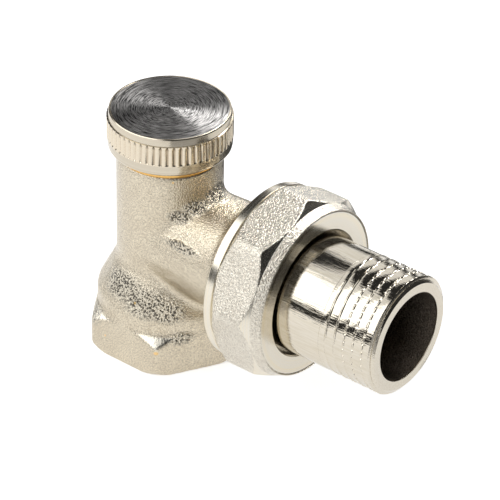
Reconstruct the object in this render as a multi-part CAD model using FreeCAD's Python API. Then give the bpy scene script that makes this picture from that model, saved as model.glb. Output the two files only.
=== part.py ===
import FreeCAD, Part
import math
import os

# Angle balancing valve, in millimetres. The origin is the centre of the bottom face.
# The valve axis is +Z, and the union branch leaves along +X.

# Pipe threads: the half-inch thread of inlet and tail, the three-quarter thread of the union
half_inch_major = 20.955
half_inch_minor = 18.631
union_major = 26.441
union_minor = 24.117
thread_clearance = 0.08
running_clearance = 0.05

# Body: hexagon base, drum, domed shoulder and neck, from the bottom up
base_across_flats = 25.0
base_edge_rounding = 1.2
base_foot_chamfer = 1.0
base_height = 7.75
drum_radius = 12.45
drum_below_branch = 11.35
neck_radius = 9.1
shoulder_below_branch = 4.6
shoulder_rounding = 3.0
body_height = 37.5
neck_edge_chamfer = 0.25

# Side branch of the body, from the valve axis outwards
branch_height = 22.0
branch_root_radius = 9.0
branch_radius = 9.5
branch_full_at = 12.0
branch_shoulder_at = 17.6
saddle_rounding = 2.0
union_relief_length = 2.7
union_thread_length = 5.2
thread_end_chamfer = 0.8

# Waterways of the body
inlet_thread_depth = 11.0
inlet_mouth_wider = 0.06
passage_radius = 5.75
seat_height = 15.0
seat_lip_width = 0.65
seat_lip_height = 0.8
chamber_radius = 7.0
branch_bore_radius = 7.2
cone_mouth_radius = 11.0
cone_half_angle = 30.0
drill_half_angle = 60.0

# Bonnet, screwed into the neck
bonnet_thread_radius = 7.5
bonnet_depth = 8.5
bonnet_thread_relief = 0.4
flange_radius = 9.06
flange_thickness = 0.85
cap_thread_length = 4.85
cap_thread_radius = 8.0
bonnet_flats = 14.0
bonnet_flats_height = 3.6
bonnet_edge_chamfer = 0.4
bonnet_ring_below_flange = 0.1
spindle_stop_below_flange = 1.5

# Spindle, with its closing plug at the bottom
spindle_thread_radius = 5.5
spindle_thread_length = 4.5
spindle_shank_radius = 5.0
spindle_below_bonnet = 3.8
spindle_edge_chamfer = 0.3
lift = 4.0
back_stop_gap = 0.1
socket_flats = 5.0
socket_depth = 4.5
stem_radius = 3.5
foot_neck_radius = 2.2
foot_radius = 3.0
foot_height = 1.2
foot_clearance = 0.1
plug_radius = 6.5
plug_floor = 0.95
plug_roof = 0.65
plug_edge_chamfer = 0.4
stem_gap = 0.3
gasket_thickness = 1.95
gasket_radius = 6.4
gasket_gap = 0.05
spigot_radius = 2.0
gasket_nut_flats = 7.0
gasket_nut_height = 2.1
spigot_past_nut = 0.3

# Round seals
bonnet_ring_thickness = 1.0
stem_ring_thickness = 1.0
stem_ring_above_stop = 0.9
stem_ring_spacing = 1.6
tail_ring_thickness = 1.2
tail_ring_inside_mouth = 1.9
ring_gap = 0.03

# Cap over the bonnet
cap_gap = 0.15
cap_radius = 10.65
cap_top_radius = 10.27
cap_lip_radius = 10.45
cap_lip_rounding = 0.75
cap_lip_height = 2.15
cap_band_height = 1.39
knurl_teeth = 58
knurl_depth = 0.36
knurl_floor_share = 0.22
knurl_mouth_share = 0.72
cap_band_radius = 10.4
cap_edge_chamfer = 0.15
cap_entry_chamfer = 0.4
cap_roof = 1.55
cap_gasket_thickness = 0.95
cap_gasket_inner_radius = 5.4
cap_gasket_outer_radius = 7.8

# Union nut, eight-sided
nut_sides = 8
nut_across_flats = 31.0
nut_edge_rounding = 2.0
nut_turned_by = 41.2
nut_length = 11.2
nut_wall = 2.95
nut_band_radius = 15.68
nut_band_width = 1.57
nut_band_chamfer = 0.3
nut_corner_slope = 45.0
nut_front_cone_width = 0.76
nut_collar_width = 1.64
nut_collar_radius = 15.35
nut_front_radius = 14.75
nut_front_chamfer = 0.1
nut_bore_radius = 11.1
nut_entry_chamfer = 0.5

# Tail held by the union nut
nose_gap = 0.2
nose_tip_radius = 8.6
collar_gap = 0.4
collar_thickness = 2.4
nut_collar_gap = 0.05
collar_thread_clearance = 0.1
tail_radius = 10.42
tail_bore_radius = 7.79
tail_past_nut = 19.3
tail_thread_length = 10.9
tail_runout_width = 0.7
tail_runout_radius = 10.12
tail_end_chamfer = 0.75
tail_face_radius = 9.55

V = FreeCAD.Vector
AXIS_Z = V(0, 0, 1)
AXIS_X = V(1, 0, 0)
CENTRE = V(0, 0, 0)
BRANCH_CENTRE = V(0, 0, branch_height)


def outline_edges(corners, place):
    """Closed chain of edges through corners (u, v, rounding). Each rounding is a tangent arc."""
    bends = []
    for index, (u, v, rounding) in enumerate(corners):
        here = V(u, v, 0)
        last = corners[index - 1]
        following = corners[(index + 1) % len(corners)]
        back = (V(last[0], last[1], 0) - here).normalize()
        ahead = (V(following[0], following[1], 0) - here).normalize()
        half = back.getAngle(ahead) / 2
        reach = rounding / math.tan(half)
        middle = here
        if rounding > 0:
            inward = (back + ahead).normalize()
            middle = here + inward * (rounding / math.sin(half) - rounding)
        bends.append((here + back * reach, middle, here + ahead * reach))
    edges = []
    for index, (start, middle, end) in enumerate(bends):
        if corners[index][2] > 0:
            edges.append(Part.Arc(place(start), place(middle), place(end)).toShape())
        next_start = bends[(index + 1) % len(bends)][0]
        if end.distanceToPoint(next_start) > 1e-6:
            edges.append(Part.makeLine(place(end), place(next_start)))
    return edges


def with_roundings(corners):
    """Corners written as (u, v) get a rounding of nothing."""
    return [tuple(corner) + (0,) * (3 - len(corner)) for corner in corners]


def turned(corners):
    """Solid of revolution about the valve axis from corners (radius, height, rounding)."""
    edges = outline_edges(with_roundings(corners), lambda p: V(p.x, 0, p.y))
    face = Part.Face(Part.Wire(edges))
    return face.revolve(CENTRE, AXIS_Z, 360)


def turned_branch(corners):
    """Solid of revolution about the branch axis from corners (distance, radius, rounding)."""
    edges = outline_edges(
        with_roundings(corners), lambda p: V(p.x, 0, branch_height + p.y)
    )
    face = Part.Face(Part.Wire(edges))
    return face.revolve(BRANCH_CENTRE, AXIS_X, 360)


def ring_of(radius, thickness, height):
    """Round seal about the valve axis."""
    return Part.makeTorus(radius, thickness / 2, V(0, 0, height), AXIS_Z)


def polygon_corners(across_flats, sides, rounding, first_angle):
    reach = across_flats / 2 / math.cos(math.pi / sides)
    corners = []
    for index in range(sides):
        angle = math.radians(first_angle + index * 360 / sides)
        corners.append((reach * math.cos(angle), reach * math.sin(angle), rounding))
    return corners


def corner_radius(across_flats, sides, rounding):
    """Distance from the axis to the tip of a rounded corner."""
    stretch = 1 / math.cos(math.pi / sides)
    return across_flats / 2 * stretch - rounding * (stretch - 1)


def upright_prism(across_flats, sides, rounding, bottom, top):
    corners = polygon_corners(across_flats, sides, rounding, 0)
    edges = outline_edges(corners, lambda p: V(p.x, p.y, bottom))
    return Part.Face(Part.Wire(edges)).extrude(V(0, 0, top - bottom))


def branch_prism(across_flats, sides, rounding, first_angle, start, end):
    corners = polygon_corners(across_flats, sides, rounding, first_angle)
    edges = outline_edges(corners, lambda p: V(start, p.x, branch_height + p.y))
    return Part.Face(Part.Wire(edges)).extrude(V(end - start, 0, 0))


# Heights and radii that several pieces share
inlet_minor_radius = half_inch_minor / 2
inlet_mouth_radius = half_inch_major / 2 + inlet_mouth_wider
drum_top = branch_height - drum_below_branch
shoulder_top = branch_height - shoulder_below_branch
bonnet_bottom = body_height - bonnet_depth
bonnet_bore_start = bonnet_bottom - bonnet_thread_relief
flange_top = body_height + flange_thickness
bonnet_top = flange_top + cap_thread_length
union_thread_radius = union_major / 2
tangent_of_cone = math.tan(math.radians(cone_half_angle))
tangent_of_drill = math.tan(math.radians(drill_half_angle))
plug_bottom = seat_height + gasket_gap + gasket_thickness
foot_bottom = plug_bottom + plug_floor + foot_clearance / 2
foot_top = foot_bottom + foot_height
plug_top = foot_top + foot_clearance / 2 + plug_roof
spindle_stop_height = body_height - spindle_stop_below_flange
spindle_thread_top = spindle_stop_height - lift - back_stop_gap
spindle_top = bonnet_top - spindle_below_bonnet
lower_stem_ring_height = spindle_stop_height + stem_ring_above_stop
upper_stem_ring_height = lower_stem_ring_height + stem_ring_spacing
cap_bottom = flange_top + cap_gap
cap_inside = bonnet_top + gasket_gap + cap_gasket_thickness
cap_height = cap_inside + cap_roof
union_thread_start = branch_shoulder_at + union_relief_length
branch_end = union_thread_start + union_thread_length
collar_start = branch_end + collar_gap
collar_end = collar_start + collar_thickness
nut_wall_inside = collar_end + nut_collar_gap
nut_end = nut_wall_inside + nut_wall
nut_start = nut_end - nut_length
tail_end = nut_end + tail_past_nut
tail_ring_at = branch_end - tail_ring_inside_mouth


def cone_radius_at(distance):
    """Radius of the branch's conical mouth at a distance along the branch."""
    return cone_mouth_radius - (branch_end - distance) * tangent_of_cone


def base_hexagon():
    reach = corner_radius(base_across_flats, 6, base_edge_rounding)
    prism = upright_prism(base_across_flats, 6, base_edge_rounding, 0, base_height)
    turning = turned(
        [
            (0, 0),
            (reach - base_foot_chamfer, 0),
            (reach, base_foot_chamfer),
            (reach, base_height - (reach - drum_radius)),
            (drum_radius, base_height),
            (0, base_height),
        ]
    )
    return prism.common(turning)


def drum_and_neck():
    inside = base_height / 2
    return turned(
        [
            (0, inside),
            (drum_radius, inside),
            (drum_radius, drum_top, shoulder_rounding),
            (neck_radius, shoulder_top, shoulder_rounding),
            (neck_radius, body_height - neck_edge_chamfer),
            (neck_radius - neck_edge_chamfer, body_height),
            (0, body_height),
        ]
    )


def branch_outside():
    relief_radius = union_minor / 2
    flare = relief_radius - branch_radius
    return turned_branch(
        [
            (0, 0),
            (0, branch_root_radius),
            (branch_full_at, branch_radius),
            (branch_shoulder_at, branch_radius, flare * 0.98),
            (branch_shoulder_at, relief_radius),
            (union_thread_start - union_thread_radius + relief_radius, relief_radius),
            (union_thread_start, union_thread_radius),
            (branch_end - thread_end_chamfer, union_thread_radius),
            (branch_end, union_thread_radius - thread_end_chamfer),
            (branch_end, 0),
        ]
    )


def valve_body():
    """Forged body: hexagon base, drum, shoulder, neck and branch, bored from three sides."""
    casting = drum_and_neck().fuse(branch_outside())
    saddle = [
        edge
        for edge in casting.Edges
        if not isinstance(edge.Curve, (Part.Circle, Part.Line))
    ]
    casting = casting.makeFillet(saddle_rounding, saddle)
    casting = casting.fuse(base_hexagon())

    mouth_depth = (inlet_mouth_radius - inlet_minor_radius) / tangent_of_drill
    drill_rise = (inlet_minor_radius - passage_radius) / tangent_of_drill
    inlet = turned(
        [
            (0, 0),
            (inlet_mouth_radius, 0),
            (inlet_minor_radius, mouth_depth),
            (inlet_minor_radius, inlet_thread_depth),
            (passage_radius, inlet_thread_depth + drill_rise),
            (passage_radius, seat_height),
            (0, seat_height),
        ]
    )
    seat_floor = seat_height - seat_lip_height
    chamber = turned(
        [
            (0, seat_height),
            (passage_radius + seat_lip_width, seat_height),
            (passage_radius + seat_lip_width, seat_floor),
            (chamber_radius, seat_floor),
            (chamber_radius, bonnet_bore_start),
            (bonnet_thread_radius, bonnet_bore_start),
            (bonnet_thread_radius, body_height),
            (0, body_height),
        ]
    )
    cone_start = (
        branch_end - (cone_mouth_radius - branch_bore_radius) / tangent_of_cone
    )
    outlet = turned_branch(
        [
            (0, 0),
            (0, branch_bore_radius),
            (cone_start, branch_bore_radius),
            (branch_end, cone_mouth_radius),
            (branch_end, 0),
        ]
    )
    seat = turned(
        [
            (passage_radius, seat_floor),
            (passage_radius + seat_lip_width, seat_floor),
            (passage_radius + seat_lip_width, seat_height),
            (passage_radius, seat_height),
        ]
    )
    outlet = outlet.cut(seat)
    return casting.cut(inlet).cut(chamber).cut(outlet)


def bonnet():
    """Turned insert: thread, seal groove and flange below, cap thread with wrench flats above."""
    outer_radius = bonnet_thread_radius - running_clearance
    groove_top = body_height - bonnet_ring_below_flange
    groove_bottom = groove_top - bonnet_ring_thickness - 2 * ring_gap
    groove_radius = bonnet_thread_radius - bonnet_ring_thickness - 2 * ring_gap
    shape = turned(
        [
            (0, bonnet_bottom),
            (outer_radius, bonnet_bottom),
            (outer_radius, groove_bottom),
            (groove_radius, groove_bottom),
            (groove_radius, groove_top),
            (outer_radius, groove_top),
            (outer_radius, body_height),
            (flange_radius, body_height),
            (flange_radius, flange_top),
            (cap_thread_radius, flange_top),
            (cap_thread_radius, bonnet_top - bonnet_edge_chamfer),
            (cap_thread_radius - bonnet_edge_chamfer, bonnet_top),
            (0, bonnet_top),
        ]
    )
    bore = turned(
        [
            (0, bonnet_bottom),
            (spindle_thread_radius + running_clearance, bonnet_bottom),
            (spindle_thread_radius + running_clearance, spindle_stop_height),
            (spindle_shank_radius + running_clearance, spindle_stop_height),
            (spindle_shank_radius + running_clearance, bonnet_top),
            (0, bonnet_top),
        ]
    )
    shape = shape.cut(bore)
    for side in (1, -1):
        flat = Part.makeBox(
            2 * cap_thread_radius, cap_thread_radius, bonnet_flats_height
        )
        shift = bonnet_flats / 2 if side > 0 else -bonnet_flats / 2 - cap_thread_radius
        flat.translate(
            V(-cap_thread_radius, shift, bonnet_top - bonnet_flats_height)
        )
        shape = shape.cut(flat)
    return shape


def bonnet_oring():
    radius = bonnet_thread_radius - ring_gap - bonnet_ring_thickness / 2
    groove_top = body_height - bonnet_ring_below_flange
    height = groove_top - ring_gap - bonnet_ring_thickness / 2
    return ring_of(radius, bonnet_ring_thickness, height)


def stem_groove(height):
    half = stem_ring_thickness / 2 + ring_gap
    floor = spindle_shank_radius - stem_ring_thickness
    return turned(
        [
            (floor, height - half),
            (spindle_shank_radius + 1, height - half),
            (spindle_shank_radius + 1, height + half),
            (floor, height + half),
        ]
    )


def spindle():
    """Regulating spindle: hexagon socket, seal grooves, thread, stem and swivel foot."""
    thread_bottom = spindle_thread_top - spindle_thread_length
    shape = turned(
        [
            (0, foot_bottom),
            (foot_radius, foot_bottom),
            (foot_radius, foot_top),
            (foot_neck_radius, foot_top),
            (foot_neck_radius, plug_top + stem_gap),
            (stem_radius, plug_top + stem_gap),
            (stem_radius, thread_bottom),
            (spindle_thread_radius, thread_bottom),
            (spindle_thread_radius, spindle_thread_top),
            (spindle_shank_radius, spindle_thread_top),
            (spindle_shank_radius, spindle_top - spindle_edge_chamfer),
            (spindle_shank_radius - spindle_edge_chamfer, spindle_top),
            (0, spindle_top),
        ]
    )
    shape = shape.cut(stem_groove(lower_stem_ring_height))
    shape = shape.cut(stem_groove(upper_stem_ring_height))
    socket = upright_prism(socket_flats, 6, 0, spindle_top - socket_depth, spindle_top)
    return shape.cut(socket)


def spindle_oring(height):
    radius = spindle_shank_radius - stem_ring_thickness / 2 + ring_gap / 2
    return ring_of(radius, stem_ring_thickness, height)


def plug():
    """Closing disc: a cavity on top holds the spindle's foot, a spigot below holds the gasket."""
    cavity_bottom = plug_bottom + plug_floor
    cavity_top = foot_top + foot_clearance / 2
    spigot_end = spigot_bottom()
    shape = turned(
        [
            (0, spigot_end),
            (spigot_radius, spigot_end),
            (spigot_radius, plug_bottom),
            (plug_radius, plug_bottom),
            (plug_radius, plug_top - plug_edge_chamfer),
            (plug_radius - plug_edge_chamfer, plug_top),
            (0, plug_top),
        ]
    )
    cavity = turned(
        [
            (0, cavity_bottom),
            (foot_radius + foot_clearance, cavity_bottom),
            (foot_radius + foot_clearance, cavity_top),
            (foot_neck_radius + foot_clearance, cavity_top),
            (foot_neck_radius + foot_clearance, plug_top),
            (0, plug_top),
        ]
    )
    return shape.cut(cavity)


def gasket_bottom():
    return plug_bottom - gasket_thickness


def spigot_bottom():
    return gasket_bottom() - gasket_nut_height - spigot_past_nut


def washer(inner, outer, bottom, top):
    return turned([(inner, bottom), (outer, bottom), (outer, top), (inner, top)])


def plug_gasket():
    return washer(
        spigot_radius + running_clearance, gasket_radius, gasket_bottom(), plug_bottom
    )


def gasket_nut():
    bottom = gasket_bottom() - gasket_nut_height
    hexagon = upright_prism(gasket_nut_flats, 6, 0, bottom, gasket_bottom())
    hole = Part.makeCylinder(
        spigot_radius + running_clearance, gasket_nut_height, V(0, 0, bottom)
    )
    return hexagon.cut(hole)


def knurl_groove(angle):
    """One straight V groove between two knurl teeth, along the valve axis."""
    half_pitch = math.pi * cap_radius / knurl_teeth
    floor = cap_radius - knurl_depth
    mouth = cap_radius + knurl_depth / 4
    floor_half = knurl_floor_share * half_pitch
    mouth_half = knurl_mouth_share * half_pitch
    corners = [
        (floor, -floor_half, 0),
        (mouth, -mouth_half, 0),
        (mouth, mouth_half, 0),
        (floor, floor_half, 0),
    ]
    start = cap_bottom + cap_lip_height
    height = cap_height - cap_band_height - start
    edges = outline_edges(corners, lambda p: V(p.x, p.y, start))
    groove = Part.Face(Part.Wire(edges)).extrude(V(0, 0, height))
    groove.rotate(CENTRE, AXIS_Z, angle)
    return groove


def cap():
    """Turned cap: rounded lip, straight knurl, plain band above it and a closed top."""
    inner_radius = cap_thread_radius + thread_clearance
    knurl_start = cap_bottom + cap_lip_height
    knurl_end = cap_height - cap_band_height
    shape = turned(
        [
            (0, cap_bottom),
            (cap_lip_radius, cap_bottom, cap_lip_rounding),
            (cap_radius, knurl_start),
            (cap_radius, knurl_end),
            (cap_band_radius, knurl_end),
            (cap_top_radius, cap_height - cap_edge_chamfer),
            (cap_top_radius - cap_edge_chamfer, cap_height),
            (0, cap_height),
        ]
    )
    inside = turned(
        [
            (0, cap_bottom),
            (inner_radius + cap_entry_chamfer, cap_bottom),
            (inner_radius, cap_bottom + cap_entry_chamfer),
            (inner_radius, cap_inside),
            (0, cap_inside),
        ]
    )
    grooves = [knurl_groove(index * 360 / knurl_teeth) for index in range(knurl_teeth)]
    return shape.cut(inside).cut(Part.makeCompound(grooves))


def cap_gasket():
    return washer(
        cap_gasket_inner_radius,
        cap_gasket_outer_radius,
        bonnet_top + gasket_gap,
        cap_inside,
    )


def union_nut():
    """Eight-sided nut: round band at the back, chamfered corners, conical collar in front."""
    reach = corner_radius(nut_across_flats, nut_sides, nut_edge_rounding)
    band_end = nut_start + nut_band_width
    collar_from = nut_end - nut_collar_width
    flats_end = collar_from - nut_front_cone_width
    slope = math.tan(math.radians(nut_corner_slope))
    prism = branch_prism(
        nut_across_flats,
        nut_sides,
        nut_edge_rounding,
        nut_turned_by,
        nut_start,
        collar_from,
    )
    turning = turned_branch(
        [
            (nut_start, 0),
            (nut_start, nut_band_radius),
            (band_end, nut_band_radius),
            (band_end + (reach - nut_band_radius) / slope, reach),
            (flats_end, reach),
            (collar_from, nut_collar_radius),
            (collar_from, 0),
        ]
    )
    band = turned_branch(
        [
            (nut_start, 0),
            (nut_start, nut_band_radius - nut_band_chamfer),
            (nut_start + nut_band_chamfer, nut_band_radius),
            (band_end, nut_band_radius),
            (band_end, 0),
        ]
    )
    collar = turned_branch(
        [
            (collar_from, 0),
            (collar_from, nut_collar_radius),
            (nut_end - nut_front_chamfer, nut_front_radius),
            (nut_end, nut_front_radius - nut_front_chamfer),
            (nut_end, 0),
        ]
    )
    shape = prism.common(turning).fuse([band, collar])
    thread_bore = union_thread_radius + thread_clearance
    bore = turned_branch(
        [
            (nut_start, 0),
            (nut_start, thread_bore + nut_entry_chamfer),
            (nut_start + nut_entry_chamfer, thread_bore),
            (nut_wall_inside, thread_bore),
            (nut_wall_inside, nut_bore_radius),
            (nut_end, nut_bore_radius),
            (nut_end, 0),
        ]
    )
    return shape.cut(bore)


def nose_radius_at(distance):
    """Radius of the tail's conical nose, a gap inside the branch's mouth."""
    return cone_radius_at(distance) - nose_gap / math.cos(
        math.radians(cone_half_angle)
    )


def tail_ring_radius():
    gap = tail_ring_thickness / 2 + 2 * ring_gap
    return cone_radius_at(tail_ring_at) - gap / math.cos(math.radians(cone_half_angle))


def tailpiece():
    """Tail: conical nose, collar behind the union nut, plain stretch and half-inch thread."""
    thread_radius = half_inch_major / 2
    collar_radius = union_minor / 2 - collar_thread_clearance
    thread_start = tail_end - tail_thread_length
    runout_end = thread_start + tail_runout_width
    nose_start = branch_end - (nose_radius_at(branch_end) - nose_tip_radius) / (
        tangent_of_cone
    )
    half_groove = tail_ring_thickness / 2 + ring_gap
    groove_radius = tail_ring_radius() - tail_ring_thickness / 2 - ring_gap
    shape = turned_branch(
        [
            (nose_start, tail_bore_radius),
            (nose_start, nose_tip_radius),
            (branch_end, nose_radius_at(branch_end)),
            (collar_start, nose_radius_at(branch_end)),
            (collar_start, collar_radius),
            (collar_end, collar_radius),
            (collar_end, tail_radius),
            (thread_start, tail_radius),
            (thread_start, tail_runout_radius),
            (runout_end, tail_runout_radius),
            (runout_end, thread_radius),
            (tail_end - tail_end_chamfer, thread_radius),
            (tail_end, tail_face_radius),
            (tail_end, tail_bore_radius),
        ]
    )
    groove = turned_branch(
        [
            (tail_ring_at - half_groove, groove_radius),
            (tail_ring_at - half_groove, cone_mouth_radius),
            (tail_ring_at + half_groove, cone_mouth_radius),
            (tail_ring_at + half_groove, groove_radius),
        ]
    )
    return shape.cut(groove)


def tail_oring():
    centre = V(tail_ring_at, 0, branch_height)
    return Part.makeTorus(tail_ring_radius(), tail_ring_thickness / 2, centre, AXIS_X)


pieces = {
    "valve_body": valve_body(),
    "bonnet": bonnet(),
    "bonnet_oring": bonnet_oring(),
    "spindle": spindle(),
    "spindle_oring_lower": spindle_oring(lower_stem_ring_height),
    "spindle_oring_upper": spindle_oring(upper_stem_ring_height),
    "plug": plug(),
    "plug_gasket": plug_gasket(),
    "gasket_nut": gasket_nut(),
    "cap": cap(),
    "cap_gasket": cap_gasket(),
    "union_nut": union_nut(),
    "tailpiece": tailpiece(),
    "tail_oring": tail_oring(),
}

os.makedirs("parts", exist_ok=True)
for name, shape in pieces.items():
    shape.exportStep("parts/" + name + ".step")
    print(name, shape.isValid(), len(shape.Solids), round(shape.Volume, 1))
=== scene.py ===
# %% [markdown]
# # An angle balancing valve in nickel-plated brass
# The valve is a forged body with a hexagon foot, a knurled cap on top, and a side branch
# that holds a tail with an eight-sided union nut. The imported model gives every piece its
# real size and place, and the looks are built around it. Blender counts in metres here.
# Outlines are written in millimetres, as on a drawing, and `MM` is one of those in metres.

# %% Load the frame
import math

import bmesh
import bpy
from mathutils import Matrix, Vector


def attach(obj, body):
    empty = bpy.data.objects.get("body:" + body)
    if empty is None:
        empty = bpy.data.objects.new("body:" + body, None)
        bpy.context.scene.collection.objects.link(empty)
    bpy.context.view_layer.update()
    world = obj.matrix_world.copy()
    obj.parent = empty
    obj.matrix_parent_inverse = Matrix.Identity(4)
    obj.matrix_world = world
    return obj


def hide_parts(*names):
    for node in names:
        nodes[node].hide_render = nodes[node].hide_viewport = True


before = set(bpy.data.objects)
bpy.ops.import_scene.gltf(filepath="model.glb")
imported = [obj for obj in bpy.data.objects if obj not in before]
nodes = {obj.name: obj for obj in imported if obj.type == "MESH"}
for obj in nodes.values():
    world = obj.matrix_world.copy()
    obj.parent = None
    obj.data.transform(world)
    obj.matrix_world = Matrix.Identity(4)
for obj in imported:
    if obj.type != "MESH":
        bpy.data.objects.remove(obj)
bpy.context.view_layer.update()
MM = 0.001

# %% [markdown]
# ## The camera
# The photograph was taken with a long lens from the front right, about 34 degrees above
# the horizon. A camera can be turned by angles, but a place and a point to aim at are
# easier to check against the object, so one matrix is made from those two. The camera is
# then rolled by a degree, because the picture leans a little.

# %% Camera at the photograph's viewing angle
camera_place = Vector((293.604, -353.615, 329.887)) * MM
camera_aim = Vector((18.729, -1.665, 26.031)) * MM
camera_roll = math.radians(1.13)
camera_lens_mm = 233.54


def facing(place, target):
    """Matrix that puts a camera or a lamp at a place and points it at a target."""
    turned_to = (target - place).to_track_quat("-Z", "Y").to_matrix().to_4x4()
    return Matrix.Translation(place) @ turned_to


camera = bpy.data.objects.new("camera", bpy.data.cameras.new("camera"))
bpy.context.scene.collection.objects.link(camera)
camera.matrix_world = facing(camera_place, camera_aim) @ Matrix.Rotation(camera_roll, 4, "Z")
camera.data.lens = camera_lens_mm
camera.data.sensor_width = 36.0
camera.data.clip_start = 0.01
bpy.context.scene.camera = camera
print("camera distance", round((camera_aim - camera_place).length, 3))

# %% [markdown]
# ## The lamps
# Plated metal shows what stands around it more than its own colour, so the light is part of
# the finish. The real valve stood on a white table in a white tent, with one large soft lamp
# at the upper left. A large area lamp gives the same broad highlights. A narrow lamp at the
# back right makes the sharp highlights on that side, and the matt table doesn't see it.

# %% Soft lamps
LAMP_DISTANCE = 0.6
VALVE_MIDDLE = Vector((20, 0, 22)) * MM


def direction(azimuth, elevation):
    """Unit vector at an azimuth from +X towards +Y and an elevation, in degrees."""
    a, e = math.radians(azimuth), math.radians(elevation)
    return Vector((math.cos(a) * math.cos(e), math.sin(a) * math.cos(e), math.sin(e)))


def soft_lamp(name, azimuth, elevation, width, height, watts):
    """A rectangular lamp that faces the valve."""
    data = bpy.data.lights.new(name, "AREA")
    data.shape = "RECTANGLE"
    data.size = width
    data.size_y = height
    data.energy = watts
    lamp = bpy.data.objects.new(name, data)
    bpy.context.scene.collection.objects.link(lamp)
    lamp.matrix_world = facing(direction(azimuth, elevation) * LAMP_DISTANCE, VALVE_MIDDLE)
    print(name, "radiance", round(watts / (math.pi * width * height), 2))
    return lamp


soft_lamp("front_left_lamp", -127, 40, 0.80, 0.50, 1.57)
back_right_lamp = soft_lamp("back_right_lamp", 92, 44, 0.2, 0.36, 2.7)
back_right_lamp.visible_diffuse = False

# %% [markdown]
# ## Materials as node trees
# A material is a tree of nodes. Adding a node, setting its inputs and linking it are three
# steps that come back for every node, so one helper does them all: each input gets either a
# value or the socket that feeds it.

# %% Helpers for node trees
def add_node(tree, kind, inputs=None, **settings):
    """A new shader node. Each input, by name or number, gets a value or a socket to link."""
    node = tree.nodes.new("ShaderNode" + kind)
    for name, value in settings.items():
        setattr(node, name, value)
    for name, value in (inputs or {}).items():
        if isinstance(value, bpy.types.NodeSocket):
            tree.links.new(value, node.inputs[name])
        else:
            node.inputs[name].default_value = value
    return node


def math_node(tree, operation, *values):
    """The result of a Math node, whose values are sockets or numbers."""
    return add_node(tree, "Math", dict(enumerate(values)), operation=operation).outputs[0]


def vector_math(tree, operation, *values):
    """The result of a Vector Math node: a number for a length or a dot product."""
    node = add_node(tree, "VectorMath", dict(enumerate(values)), operation=operation)
    return node.outputs["Value" if operation in ("LENGTH", "DOT_PRODUCT") else "Vector"]


def shifted_range(tree, value, start, end, low=0.0, high=1.0, **settings):
    """A value between start and end, moved to the range from low to high."""
    inputs = {"Value": value, "From Min": start, "From Max": end, "To Min": low, "To Max": high}
    return add_node(tree, "MapRange", inputs, **settings).outputs[0]


def most_of(tree, values):
    """The largest of several sockets."""
    result = values[0]
    for value in values[1:]:
        result = math_node(tree, "MAXIMUM", result, value)
    return result


print("node helpers ready, node groups so far:", len(bpy.data.node_groups))

# %% Helpers for materials
def new_material(name):
    """An empty material and its node tree."""
    material = bpy.data.materials.new(name)
    material.use_nodes = True
    material.node_tree.nodes.clear()
    return material, material.node_tree


def show(tree, shader):
    """Link a shader to the material's output."""
    add_node(tree, "OutputMaterial", {"Surface": shader.outputs[0]})


print("material helpers ready, materials so far:", len(bpy.data.materials))

# %% [markdown]
# ## Dark walls and cards
# Dark gaps were left between table and tent, on the photographer's side, and above the
# object, and they draw the dark lines in the polished parts. The card on the right near the
# valve is a painted shadow: it darkens the table where the valve's own shadow falls. Lines
# painted on the metal would stay where they are as the view turns, which reflections don't,
# so the dark things are built round the table instead. Each is a line swept round the middle
# of the table. Only reflections see them, so they take no light away and don't show in the
# picture.

# %% Boards that only reflections see
WALL_STEPS = 32
CARD_STEPS = 16
CARD_HEIGHT = 0.5 * MM


def mesh_object(name, bm):
    """An object in the scene that holds the finished bmesh."""
    mesh = bpy.data.meshes.new(name)
    bm.to_mesh(mesh)
    bm.free()
    thing = bpy.data.objects.new(name, mesh)
    bpy.context.scene.collection.objects.link(thing)
    return thing


def dark_board(name, ends, azimuths, steps, shade):
    """A board swept between two azimuths from a line in the XZ plane. It glows with its shade."""
    bm = bmesh.new()
    to_start = Matrix.Rotation(math.radians(azimuths[0]), 3, "Z")
    bm.edges.new([bm.verts.new(to_start @ Vector(end)) for end in ends])
    bmesh.ops.spin(
        bm, geom=bm.verts[:] + bm.edges[:], cent=(0, 0, 0), axis=(0, 0, 1),
        angle=math.radians(azimuths[1] - azimuths[0]), steps=steps,
    )
    board = mesh_object(name, bm)
    material, tree = new_material(name)
    show(tree, add_node(tree, "Emission", {"Color": (shade, shade, shade, 1)}))
    board.data.materials.append(material)
    board.visible_camera = False
    board.visible_diffuse = False
    board.visible_shadow = False
    print(name, "from", azimuths[0], "to", azimuths[1], "degrees, shade", shade)


def dark_wall(name, radius, azimuths, elevations, shade):
    """Part of a round wall, seen from the middle between two elevations in degrees."""
    heights = [radius * math.tan(math.radians(elevation)) for elevation in elevations]
    ends = [(radius, 0, height) for height in heights]
    dark_board(name, ends, azimuths, WALL_STEPS, shade)


def dark_card(name, radii, azimuths, shade):
    """A card on the table, between two distances from the middle."""
    ends = [(radius, 0, CARD_HEIGHT) for radius in radii]
    dark_board(name, ends, azimuths, CARD_STEPS, shade)


# %% Walls round the table and cards on it
dark_wall("wall_photographer", 0.9, (-64, 18), (4, 62), 0.03)
dark_wall("wall_above", 0.8, (127, 184), (24, 68), 0.03)
dark_wall("gap_in_front", 1.0, (-180, -80), (-3, 17), 0.04)
dark_wall("gap_behind", 1.0, (95, 180), (-8, 14), 0.03)
dark_wall("wall_right", 1.0, (18, 80), (-4, 56), 0.04)
# A painted shadow: this card darkens the table where the valve's shadow falls, as reflections see
# it
dark_card("painted_shadow_card_right", (0.03, 0.062), (18, 75), 0.12)
dark_card("card_behind", (0.05, 0.095), (60, 125), 0.08)
dark_card("card_far_right", (0.16, 0.95), (18, 100), 0.1)
dark_card("card_front", (0.1, 0.2), (-50, 18), 0.5)
dark_card("card_far_front", (0.2, 0.95), (-64, 18), 0.1)

# %% [markdown]
# ## The white tent and the table
# The background of the photograph is pure white. More light would bleach the valve, so the
# white comes from the world and the table themselves: they are bright for the camera and for
# reflections, and weaker as a light. The table keeps the valve's soft shadow.

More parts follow.
